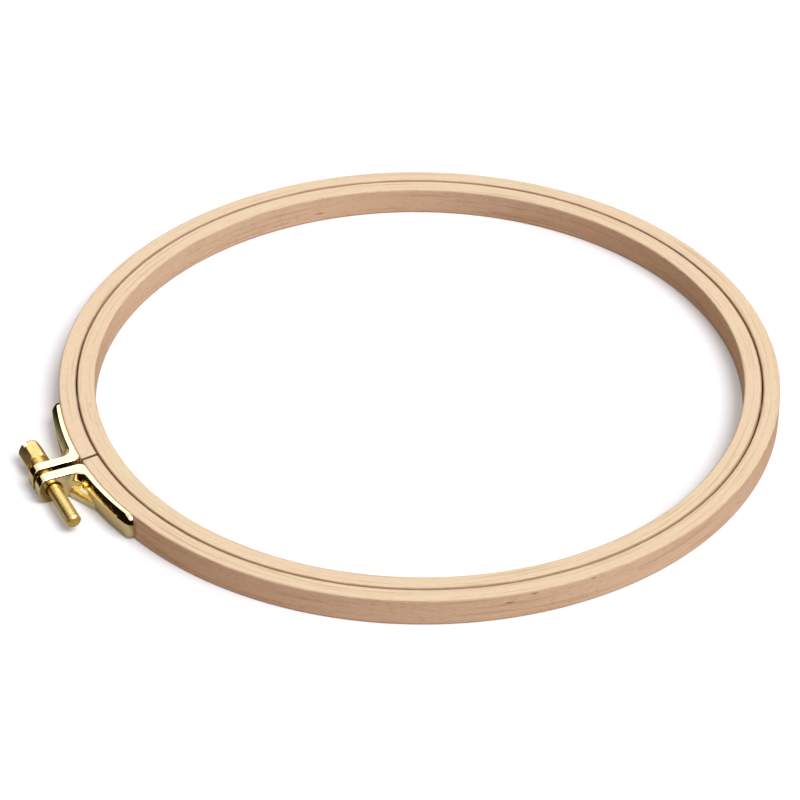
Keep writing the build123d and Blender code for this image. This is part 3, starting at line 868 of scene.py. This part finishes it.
# Drawn steel wire of the bracket pins, cut and headed: grey, dull, a little spotted.
pinSteel = {
    "color": "B9B6B0", "deep": "8C8780",
    "patches": (0.35, 5.0, 0.5), "deepRange": (0.0, 1.0, 0.0, 1.0), "dullRange": (0.0, 1.0, 0.26, 0.48),
    "relief": [((0.0, 0.0, 0.0), (1.0, 1.0, 1.0), 0.35, 5.0, 0.3, 0.01)],
}
drawnSteel = metalMaterial("drawnSteel", pinSteel)
for name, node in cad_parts.items():
    if name.endswith("_pin"):
        node.data.materials.clear()
        node.data.materials.append(drawnSteel)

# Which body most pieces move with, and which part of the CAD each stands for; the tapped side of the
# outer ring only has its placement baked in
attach(innerRing, "inner_ring")
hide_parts("inner_ring")
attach(fixedHalf, "fixed_side")
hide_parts("outer_ring_fixed_half")
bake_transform(swingHalf)
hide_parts("outer_ring_swing_half")
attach(plainBracket, "fixed_side")
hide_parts("plain_bracket")
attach(tappedBracket, "swing_side")
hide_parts("tapped_bracket")
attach(clampScrew, "screw")
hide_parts("clamp_screw")
print("pieces placed")

# The floor is pale to the camera, browner in bounced light, greyish in reflections near the clamp, which
# is a painted shadow, and dark in reflections away from the clamp. Places and reaches are in metres,
# turns in degrees.
studio = {
    # the floor's colour in reflections near the clamp is greyish as a painted shadow
    "floor": "F7F4F5", "floorBounce": "C1A086", "floorGlossShadow": "BFB6A2", "farGloss": "1C140A",
    "nearPlace": (0.0, 0.108, -0.004), "nearReach": 0.028, "farReach": 0.046, "floorGlow": 0.16,
    "worldLevel": 0.26, "whiteLevel": 1.0,
    "keyStrength": 2.62, "keyTurn": 205.0, "keyHeight": 56.0, "keySize": 36.0, "key": "F6FAFF",
    "backStrength": 0.6, "backTurn": -24.7, "backHeight": 40.0, "backSize": 56.0, "back": "FFFDF6",
    "floorReach": 4.0, "screenRadius": 3.0, "screenHeight": 1.6, "screenSteps": 72, "screen": "1E160C",
}


def studioMaterial(name, shown, bounced, glossNear, glossFar):
    # One colour for the camera, one for bounced light, and for reflections a greyish one near the clamp,
    # a painted shadow, that darkens away from the clamp
    material, add = newMaterial(name)
    path = add("ShaderNodeLightPath").outputs
    place = add("ShaderNodeTexCoord").outputs["Object"]
    distance = add("ShaderNodeVectorMath", [place, studio["nearPlace"]], operation="DISTANCE")
    away = add("ShaderNodeMapRange", [distance, studio["nearReach"], studio["farReach"]],
            interpolation_type="SMOOTHSTEP")
    gloss = add("ShaderNodeMix", {"Factor": away, 6: glossNear, 7: glossFar}, data_type="RGBA")
    for ray, own in (("Is Glossy Ray", gloss), ("Is Camera Ray", shown)):
        bounced = add("ShaderNodeMix", {"Factor": path[ray], 6: bounced, 7: own}, data_type="RGBA")
    shader = add("ShaderNodeBsdfDiffuse", {"Color": bounced})
    glow = add("ShaderNodeMath", [path["Is Camera Ray"], studio["floorGlow"]], operation="MULTIPLY")
    glowing = add("ShaderNodeEmission", {"Color": shown, "Strength": glow})
    both = add("ShaderNodeAddShader", [shader, glowing])
    add("ShaderNodeOutputMaterial", {"Surface": both})
    return material


def studioPiece(name, points, faces, materialName, *colors):
    # A plain mesh in metres with a studio material
    mesh = bpy.data.meshes.new(name)
    mesh.from_pydata(points, [], faces)
    mesh.materials.append(studioMaterial(materialName, *colors))
    return newObject(name, mesh)


corners = [(x * studio["floorReach"], y * studio["floorReach"], -halfDepth * mm)
           for x, y in ((-1, -1), (1, -1), (1, 1), (-1, 1))]
floor = studioPiece("floor", corners, [(0, 1, 2, 3)], "paleFloor", studio["floor"],
                    studio["floorBounce"], studio["floorGlossShadow"], studio["farGloss"])

# dark screen round the table, out of the camera's sight and seen only in reflections: a painted
# reflection for the dark lines in the brass
steps = studio["screenSteps"]
screenRows = [circleRow(place, studio["screenRadius"] / mm, 0.0, 0.0, steps)
              for place in (-halfDepth, studio["screenHeight"] / mm)]
points = [(y * mm, z * mm, x * mm) for row in screenRows for x, y, z in row]
faces = [(k, (k + 1) % steps, steps + (k + 1) % steps, steps + k) for k in range(steps)]
screen = studioPiece("screen", points, faces, "darkScreen", *[studio["screen"]] * 4)
screen.visible_camera = False
screen.visible_diffuse = False
screen.visible_shadow = False


def sunLamp(key):
    # A large far lamp: turn from +X towards +Y, height above the floor
    data = bpy.data.lights.new(key + "Lamp", "SUN")
    data.energy = studio[key + "Strength"]
    data.color = linearColor(studio[key])[:3]
    data.angle = math.radians(studio[key + "Size"])
    lamp = newObject(key + "Lamp", data)
    turn, height = math.radians(studio[key + "Turn"]), math.radians(studio[key + "Height"])
    direction = Vector((math.cos(turn) * math.cos(height), math.sin(turn) * math.cos(height),
                        math.sin(height)))
    lamp.rotation_mode = "QUATERNION"
    lamp.rotation_quaternion = direction.to_track_quat("Z", "Y")
    lamp.location = direction * 2


for key in ("key", "back"):
    sunLamp(key)
world = bpy.data.worlds.new("studioWorld")
scene.world = world
world.use_nodes = True
world.node_tree.nodes.clear()
add = partial(addNode, world.node_tree)
path = add("ShaderNodeLightPath").outputs
seen = add("ShaderNodeMath", [path["Is Camera Ray"], path["Is Glossy Ray"]], operation="ADD")
seen = add("ShaderNodeMath", [seen, path["Is Transmission Ray"]], operation="ADD", use_clamp=True)
level = add("ShaderNodeMapRange", [seen, 0.0, 1.0, studio["worldLevel"], studio["whiteLevel"]])
light = add("ShaderNodeBackground", {"Color": "FFFFFF", "Strength": level})
add("ShaderNodeOutputWorld", {"Surface": light})

# The camera stands where the photo was taken from: its target in millimetres, lens in
# millimetres for a sensor 36 wide, angles in degrees
shot = {"target": (-0.443, 6.123, -4.03), "distance": 1097.5, "turn": 245.3, "height": 36.843,
        "roll": 0.397, "lens": 177.24, "sensor": 36.0}
turn, height, roll = (math.radians(shot[key]) for key in ("turn", "height", "roll"))
back = Vector((math.sin(turn) * math.cos(height), -math.cos(turn) * math.cos(height), math.sin(height)))
right = Vector((math.cos(turn), math.sin(turn), 0))
up = back.cross(right)
rightRolled = right * math.cos(roll) + up * math.sin(roll)
upRolled = up * math.cos(roll) - right * math.sin(roll)
cameraData = bpy.data.cameras.new("camera")
cameraData.lens = shot["lens"]
cameraData.sensor_width = shot["sensor"]
cameraData.clip_start, cameraData.clip_end = 0.05, 50.0
camera = newObject("camera", cameraData)
spot = Vector(shot["target"]) * mm + back * shot["distance"] * mm
camera.matrix_world = Matrix((
    (rightRolled.x, upRolled.x, back.x, spot.x),
    (rightRolled.y, upRolled.y, back.y, spot.y),
    (rightRolled.z, upRolled.z, back.z, spot.z),
    (0, 0, 0, 1)))
scene.camera = camera
scene.view_settings.view_transform = "Standard"
print("studio and camera made")
